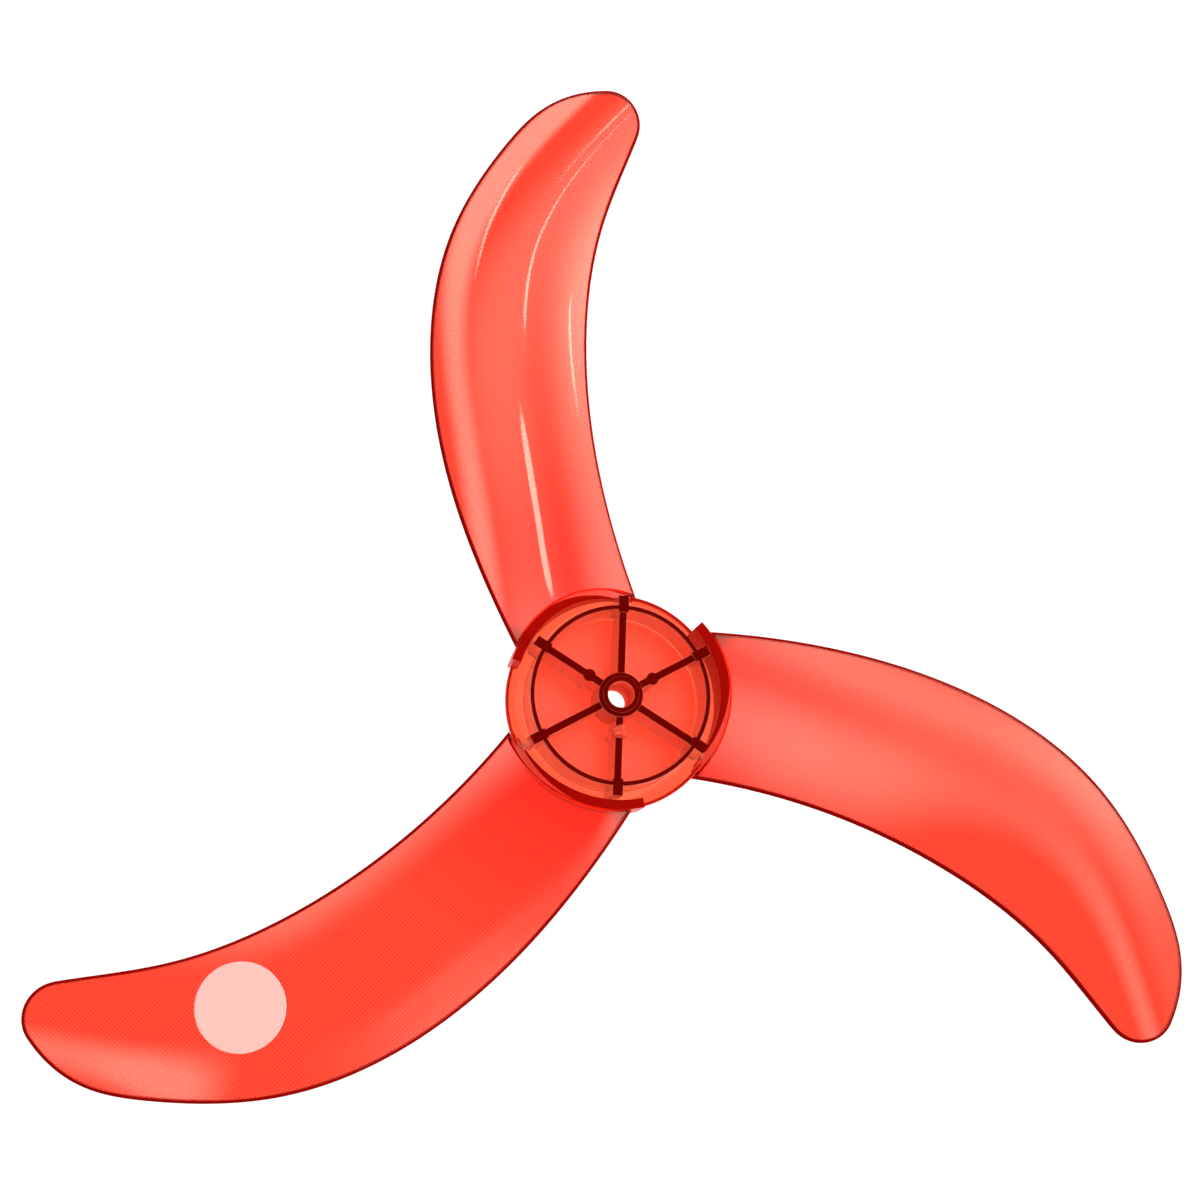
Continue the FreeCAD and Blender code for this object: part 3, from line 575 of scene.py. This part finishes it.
# Clear red SAN, injection moulded against a polished tool: deep gloss and sharp reflections. Its colour is set for
# each kind of face, with light and shade painted in: the tops of ribs and walls, seen end-on, are painted
# almost black as shade, and their sides are painted pale and nearly clear as light. The hub's floor is matt.
# The blades are darker towards their roots, and painted shade darkens their edges and leading root corners.
# The blades carry a fine crossed hatch from the tool. Its real pitch is about 0.3 mm, drawn here three times
# as coarse so that it shows.
HATCH_PITCH, HATCH_DEPTH, FLOW_LENGTH = 0.9 * MM, 0.0008 * MM, 14.0 * MM
HATCH_TURNS = 40.0, 130.0
ROOT_TINT_END = 90.0 * MM
GLOSS_LEAST, GLOSS_MOST, DULL_ROUGHNESS, FLOOR_ROUGHNESS = 0.02, 0.06, 0.5, 0.4
clear_red_san = bpy.data.materials.new("clear_red_SAN")
clear_red_san.use_nodes = True
finish = clear_red_san.node_tree
finish.nodes.clear()
here = add(finish, "ShaderNodeTexCoord").outputs["Object"]
at_edge = add(finish, "ShaderNodeAttribute", attribute_name="edge_shade").outputs["Fac"]
on_blade = add(finish, "ShaderNodeAttribute", attribute_name="blade_skin").outputs["Fac"]
tone = add(finish, "ShaderNodeAttribute", attribute_name="tone").outputs["Fac"]
wall_run = add(finish, "ShaderNodeAttribute", attribute_name="wall_run").outputs["Fac"]
flat_here = add(finish, "ShaderNodeVectorMath", {0: here, 1: (1, 1, 0)}, operation="MULTIPLY")
from_axis = add(finish, "ShaderNodeVectorMath", {0: flat_here}, operation="LENGTH").outputs["Value"]
# The painted shade on a wall's top covers more of its width towards its leading end. Past that, the top steps down
# to the tone before its own, which is the side's.
DARK_RUN, DARK_WIDTH = (0.1, 0.65), (-0.4, 0.6)
dark_reach = add(finish, "ShaderNodeMapRange", {
    "Value": wall_run, "From Min": DARK_RUN[0], "From Max": DARK_RUN[1],
    "To Min": WALL_RADIUS + DARK_WIDTH[0] * WALL_THICKNESS,
    "To Max": WALL_RADIUS + DARK_WIDTH[1] * WALL_THICKNESS}).outputs[0]
past_reach = add(finish, "ShaderNodeMath", {0: from_axis, 1: dark_reach}, operation="GREATER_THAN")
on_wall_top = add(finish, "ShaderNodeMath", {0: tone, 1: float(WALL_TOP_SHADE), 2: 0.5}, operation="COMPARE")
step_down = add(finish, "ShaderNodeMath", {0: past_reach, 1: on_wall_top}, operation="MULTIPLY")
tone = add(finish, "ShaderNodeMath", {0: tone, 1: step_down}, operation="SUBTRACT")
tone_share = add(finish, "ShaderNodeMath", {0: tone, 1: 1 / len(TONES), 2: 0.5 / len(TONES)},
                 operation="MULTIPLY_ADD")
tones = add(finish, "ShaderNodeValToRGB", {"Fac": tone_share})
tones.color_ramp.interpolation = "CONSTANT"
for number, (hex_code, clear) in enumerate(TONES):
    stop = tones.color_ramp.elements[number] if number < 2 else tones.color_ramp.elements.new(1.0)
    stop.position = number / len(TONES)
    stop.color = colour(hex_code, clear)
hatch = on_blade
for turn in HATCH_TURNS:
    across_hatch = Vector((*polar(math.tau / HATCH_PITCH, turn), 0))
    lines = add(finish, "ShaderNodeVectorMath", {0: here, 1: across_hatch},
                operation="DOT_PRODUCT").outputs["Value"]
    lines = add(finish, "ShaderNodeMath", {0: lines}, operation="SINE")
    lines = add(finish, "ShaderNodeMath", {0: lines, 1: 0.5, 2: 0.5}, operation="MULTIPLY_ADD")
    hatch = add(finish, "ShaderNodeMath", {0: hatch, 1: lines}, operation="MULTIPLY")
hatched = add(finish, "ShaderNodeMix", {"Factor": hatch, 6: tones.outputs["Color"], 7: colour("#FF5A40")},
              data_type="RGBA")
# Painted shade: the blade's leading root corner is painted deep red with less gloss, and its edges deep red and
# less clear
at_corner = add(finish, "ShaderNodeAttribute", attribute_name="corner_shade").outputs["Fac"]
near_root = add(finish, "ShaderNodeMapRange", {"Value": from_axis, "From Min": WALL_MIDDLE,
                                               "From Max": ROOT_TINT_END, "To Min": 1.0, "To Max": 0.0}).outputs[0]
near_root = add(finish, "ShaderNodeMath", {0: near_root, 1: on_blade}, operation="MULTIPLY")
deepened = add(finish, "ShaderNodeMix", {"Factor": near_root, 6: hatched.outputs[2], 7: colour("#FF1C08")},
               data_type="RGBA")
cornered = add(finish, "ShaderNodeMix", {"Factor": at_corner, 6: deepened.outputs[2], 7: colour("#7A0300")},
               data_type="RGBA")
edge_painted_shade = add(finish, "ShaderNodeMix", {"Factor": at_edge, 6: cornered.outputs[2], 7: colour("#8C0502")},
                data_type="RGBA")
off_edge = add(finish, "ShaderNodeMath", {0: 1.0, 1: at_edge}, operation="SUBTRACT")
clear_share = add(finish, "ShaderNodeMath", {0: tones.outputs["Alpha"], 1: off_edge}, operation="MULTIPLY")
is_dull = add(finish, "ShaderNodeMath", {0: 1.0, 1: clear_share}, operation="SUBTRACT")
mirror_level = add(finish, "ShaderNodeMapRange", {"Value": clear_share, "To Min": 0.0, "To Max": 0.5}).outputs[0]
off_corner = add(finish, "ShaderNodeMath", {0: 1.0, 1: at_corner}, operation="SUBTRACT")
mirror_level = add(finish, "ShaderNodeMath", {0: mirror_level, 1: off_corner}, operation="MULTIPLY")
on_floor = add(finish, "ShaderNodeMath", {0: tone, 1: float(HUB_FLOOR), 2: 0.5}, operation="COMPARE")
flow = add(finish, "ShaderNodeTexNoise", {"Vector": here, "Scale": 1 / FLOW_LENGTH, "Detail": 3.0}).outputs[0]
gloss = add(finish, "ShaderNodeMapRange", {"Value": flow, "From Min": 0.3, "From Max": 0.7,
                                           "To Min": GLOSS_LEAST, "To Max": GLOSS_MOST}).outputs[0]
for matt, roughness in ((is_dull, DULL_ROUGHNESS), (on_floor, FLOOR_ROUGHNESS)):
    gloss = add(finish, "ShaderNodeMath", {0: matt, 1: roughness, 2: gloss}, operation="MULTIPLY_ADD")
relief = add(finish, "ShaderNodeBump", {"Height": hatch, "Strength": 1.0, "Distance": HATCH_DEPTH})
skin = add(finish, "ShaderNodeBsdfPrincipled", {
    "Base Color": edge_painted_shade.outputs[2], "Roughness": gloss, "IOR": 1.57, "Transmission Weight": clear_share,
    "Specular IOR Level": mirror_level, "Normal": relief})
add(finish, "ShaderNodeOutputMaterial", {"Surface": skin})


def drawn_from_wires(name, tree, settings):
    """Piece whose mesh a node tree draws from the wires, with the tree's inputs set by their identifiers."""
    wires_object = bpy.data.objects.new(name + "_wires", wires)
    bpy.context.scene.collection.objects.link(wires_object)
    modifier = wires_object.modifiers.new(tree.name, "NODES")
    modifier.node_group = tree
    for identifier, value in settings:
        modifier[identifier] = value
    drawn = bpy.context.evaluated_depsgraph_get()
    mesh = bpy.data.meshes.new_from_object(wires_object.evaluated_get(drawn), depsgraph=drawn)
    bpy.data.objects.remove(wires_object)
    piece = bpy.data.objects.new(name, mesh)
    bpy.context.scene.collection.objects.link(piece)
    return piece


impeller = drawn_from_wires("impeller_moulding", moulding, [
    *((identifiers[name], value) for name, _, value in MOULDING_SIZES), (identifiers["Plastic"], clear_red_san)])
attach(impeller, "root")
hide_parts("fan_blade")

# Blank round film stuck on the rear of the third blade
LABEL_RADIUS, LABEL_THICKNESS, LABEL_GAP = 13.3 * MM, 0.12 * MM, 0.05 * MM
LABEL_DISTANCE, LABEL_TURN, MOTTLE_LENGTH = 145.2 * MM, 102.0, 1.2 * MM
LABEL_SIZES = (
    ("Label radius", NUMBER, LABEL_RADIUS),
    ("Label thickness", NUMBER, LABEL_THICKNESS),
    ("Rings", COUNT, 26),
    ("Turn steps", COUNT, 128),
    ("Camber radius", NUMBER, CAMBER_RADIUS),
    ("Tip radius", NUMBER, TIP_RADIUS),
    ("Blade turn", NUMBER, math.tau / BLADE_COUNT),
)
label, label_in, label_out, label_identifiers = new_tree(
    "Round label", [("Wires", GEOMETRY), *((name, kind) for name, kind, _ in LABEL_SIZES), ("Film", FINISH)],
    [("Label", GEOMETRY)])
half_radius = add(label, "ShaderNodeMath", {0: label_in["Label radius"], 1: 0.5}, operation="MULTIPLY")
label_form = add(label, "GeometryNodeCurvePrimitiveQuadrilateral", {"Width": label_in["Label radius"],
                                                                   "Height": label_in["Label thickness"]})
label_form = add(label, "GeometryNodeSetPosition", {
    "Geometry": label_form, "Offset": add(label, "ShaderNodeCombineXYZ", {"X": half_radius})})
label_form = add(label, "GeometryNodeSubdivideCurve", {"Curve": label_form, "Cuts": label_in["Rings"]})
label_turn = add(label, "GeometryNodeCurvePrimitiveCircle", {"Resolution": label_in["Turn steps"],
                                                             "Radius": AXIS_LINE})
disc = add(label, "GeometryNodeCurveToMesh", {"Curve": label_turn, "Profile Curve": label_form})
label_centre = polar(LABEL_DISTANCE, LABEL_TURN)
disc = add(label, "GeometryNodeTransform", {"Geometry": disc, "Translation": (*label_centre, 0)})
label_place = add(label, "GeometryNodeInputPosition")
label_parts = add(label, "ShaderNodeSeparateXYZ", {0: label_place}).outputs
blade_here = add(label, "GeometryNodeGroup", node_tree=sheet)
for name, source in (("Place", label_place.outputs[0]), ("Camber radius", label_in["Camber radius"]),
                     ("Tip radius", label_in["Tip radius"])):
    label.links.new(source, blade_here.inputs[name])
label_share = add(label, "ShaderNodeMath", {0: label_parts["Y"], 1: label_in["Tip radius"]}, operation="DIVIDE")
blade_half = add(label, "ShaderNodeMath", {0: label_share, 1: (TIP_THICKNESS - ROOT_THICKNESS) / 2,
                                           2: ROOT_THICKNESS / 2}, operation="MULTIPLY_ADD")
blade_top = add(label, "ShaderNodeMath", {0: blade_half, 1: blade_here.outputs["Slant"],
                                          2: blade_here.outputs["Height"]}, operation="MULTIPLY_ADD")
lifted = add(label, "ShaderNodeMath", {0: label_parts["Z"], 1: LABEL_THICKNESS / 2 + LABEL_GAP}, operation="ADD")
lifted = add(label, "ShaderNodeMath", {0: lifted, 1: blade_top}, operation="ADD")
disc = add(label, "GeometryNodeSetPosition", {"Geometry": disc, "Position": add(label, "ShaderNodeCombineXYZ", {
    "X": label_parts["X"], "Y": label_parts["Y"], "Z": lifted})})
disc = add(label, "GeometryNodeMergeByDistance", {"Geometry": disc, "Distance": AXIS_WELD})
disc = add(label, "GeometryNodeTransform", {
    "Geometry": disc, "Rotation": add(label, "ShaderNodeCombineXYZ", {"Z": label_in["Blade turn"]})})
disc = add(label, "GeometryNodeRealizeInstances", {"Geometry": disc})
disc = add(label, "GeometryNodeSetMaterial", {"Geometry": disc, "Material": label_in["Film"]})
label.links.new(disc.outputs[0], label_out["Label"])

# Polypropylene label film, matt printed: an even pale pink with a slight mottle where light comes through it
label_film = bpy.data.materials.new("polypropylene_label_film")
label_film.use_nodes = True
film = label_film.node_tree
film_skin = film.nodes["Principled BSDF"]
film_here = add(film, "ShaderNodeTexCoord").outputs["Object"]
mottle = add(film, "ShaderNodeTexNoise", {"Vector": film_here, "Scale": 1 / MOTTLE_LENGTH,
                                          "Detail": 2.0}).outputs[0]
film_tint = add(film, "ShaderNodeMix", {"Factor": mottle, 6: colour("#E8ACB4"), 7: colour("#EEB6BE")},
                data_type="RGBA")
film.links.new(film_tint.outputs[2], film_skin.inputs["Base Color"])
film_skin.inputs["Roughness"].default_value = 0.55
film_skin.inputs["IOR"].default_value = 1.49

round_label = drawn_from_wires("round_label", label, [
    *((label_identifiers[name], value) for name, _, value in LABEL_SIZES), (label_identifiers["Film"], label_film)])
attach(round_label, "root")

# Light table: a white acrylic sheet lit from below, that runs up into a low cove all round. It gives an even white
# glow, with no gloss and no shadow.
TABLE_RADIUS, COVE_RADIUS, TABLE_DROP, TABLE_GLOW = 2.6, 0.45, 0.4 * MM, 1.15
COVE_STEPS = 9
cove_turns = np.linspace(0, math.pi / 2, COVE_STEPS)
table_form = [(TABLE_RADIUS + COVE_RADIUS * math.sin(t), COVE_RADIUS * (1 - math.cos(t))) for t in cove_turns]
table_steps = 96
table_points = [(*polar(radius, 360 * i / table_steps), z - TABLE_DROP)
                for radius, z in table_form for i in range(table_steps)]
table_faces = [[j * table_steps + i, j * table_steps + (i + 1) % table_steps,
                (j + 1) * table_steps + (i + 1) % table_steps, (j + 1) * table_steps + i]
               for j in range(len(table_form) - 1) for i in range(table_steps)]
table_mesh = bpy.data.meshes.new("light_table")
table_mesh.from_pydata(table_points, [], [list(range(table_steps)), *([a, d, c, b] for a, b, c, d in table_faces)])
table_mesh.update()
light_table = bpy.data.objects.new("light_table", table_mesh)
bpy.context.scene.collection.objects.link(light_table)
white_acrylic = bpy.data.materials.new("white_acrylic")
white_acrylic.use_nodes = True
acrylic = white_acrylic.node_tree.nodes["Principled BSDF"]
acrylic.inputs["Base Color"].default_value = colour("#000000")
acrylic.inputs["Roughness"].default_value = 1.0
acrylic.inputs["Specular IOR Level"].default_value = 0.0
acrylic.inputs["Emission Color"].default_value = (1, 1, 1, 1)
acrylic.inputs["Emission Strength"].default_value = TABLE_GLOW
table_mesh.materials.append(white_acrylic)

# Studio: a pale room, six large soft boxes round and over the part, and four narrow strip lights that draw the
# streaks on the blades. Each runs from one direction to another, in degrees from straight up to the right and to
# the back, with half its width, the share of it that fades out, and its radiance. The table hides what a box also
# casts from the opposite side, below.
ROOM_RADIANCE = 0.4
SOFT_BOXES = (
    ((60, -30), (65, 50), 34.0, 0.8, 6.0),
    ((4, 0), (6, 75), 9.0, 0.6, 5.0),
    ((10, 5), (0, -85), 12.0, 0.9, 4.5),
    ((-16, -30), (-14, 18), 7.0, 0.8, 3.5),
    ((-6, 2), (60, 12), 22.0, 1.0, 4.0),
    ((-65, 80), (-20, 40), 20.0, 0.9, 3.0),
    ((11, 34), (13, 20), 0.5, 0.2, 9.0),
    ((35, 18), (37, 20), 0.5, 0.2, 9.0),
    ((57, 18), (60, 29), 0.5, 0.2, 9.0),
    ((30, 22), (33, 23), 1.4, 0.2, 9.0),
)
world = bpy.data.worlds.new("studio")
bpy.context.scene.world = world
world.use_nodes = True
studio = world.node_tree
studio.nodes.clear()
outward = add(studio, "ShaderNodeTexCoord").outputs["Generated"]
light = ROOM_RADIANCE


def skyward(right, back):
    """Direction at the given degrees from straight up."""
    lean = math.hypot(right, back)
    side = math.sin(math.radians(lean)) / max(lean, 1e-6)
    return Vector((right * side, back * side, math.cos(math.radians(lean))))


for first, last, half_width, fade, radiance in SOFT_BOXES:
    ends = skyward(*first), skyward(*last)
    middle = (ends[0] + ends[1]).normalized()
    along = (ends[1] - ends[0]).normalized()
    reach = (ends[1] - ends[0]).length / 2
    across = middle.cross(along) / math.sin(math.radians(half_width))
    far_along, far_across = (
        add(studio, "ShaderNodeVectorMath", {0: outward, 1: way}, operation="DOT_PRODUCT").outputs["Value"]
        for way in (along / reach, across))
    squared = add(studio, "ShaderNodeMath", {0: far_along, 1: far_along}, operation="MULTIPLY")
    squared = add(studio, "ShaderNodeMath", {0: far_across, 1: far_across, 2: squared}, operation="MULTIPLY_ADD")
    from_middle = add(studio, "ShaderNodeMath", {0: squared}, operation="SQRT")
    glow = add(studio, "ShaderNodeMapRange", {"Value": from_middle, "From Min": 1 - fade, "From Max": 1.0,
                                              "To Min": radiance, "To Max": 0.0},
               interpolation_type="SMOOTHSTEP").outputs[0]
    light = add(studio, "ShaderNodeMath", {0: light, 1: glow}, operation="ADD")
backdrop = add(studio, "ShaderNodeBackground", {"Color": colour("#FFFCE4"), "Strength": light})
add(studio, "ShaderNodeOutputWorld", {"Surface": backdrop})
bpy.context.scene.view_settings.view_transform = "Standard"

# Camera above the rear side, a little to the left of the axis and below it. Its place is in pixels of the picture.
SWEEP_PIXELS, PICTURE_PIXELS, SENSOR = 1320, 1200.0, 36.0
PIXEL = 2 * TIP_RADIUS / SWEEP_PIXELS
VIEW_RIGHT, VIEW_UP, VIEW_DISTANCE = -21.1, 94.5, 2220.0
TILT, SIDE, HEAD = math.radians(-11.03), math.radians(8.21), math.radians(2.0)
facing = Matrix.Rotation(TILT, 3, "X") @ Matrix.Rotation(SIDE, 3, "Y")
stand = Matrix.Rotation(HEAD, 3, "Z") @ facing.transposed()
viewpoint = stand @ (Vector((VIEW_RIGHT, VIEW_UP, VIEW_DISTANCE)) * PIXEL) + Vector((0, 0, HUB_HEIGHT))
camera = bpy.data.objects.new("camera", bpy.data.cameras.new("camera"))
bpy.context.scene.collection.objects.link(camera)
camera.matrix_world = Matrix.Translation(viewpoint) @ stand.to_4x4()
camera.data.sensor_width = SENSOR
camera.data.lens = SENSOR * VIEW_DISTANCE / PICTURE_PIXELS
bpy.context.scene.camera = camera
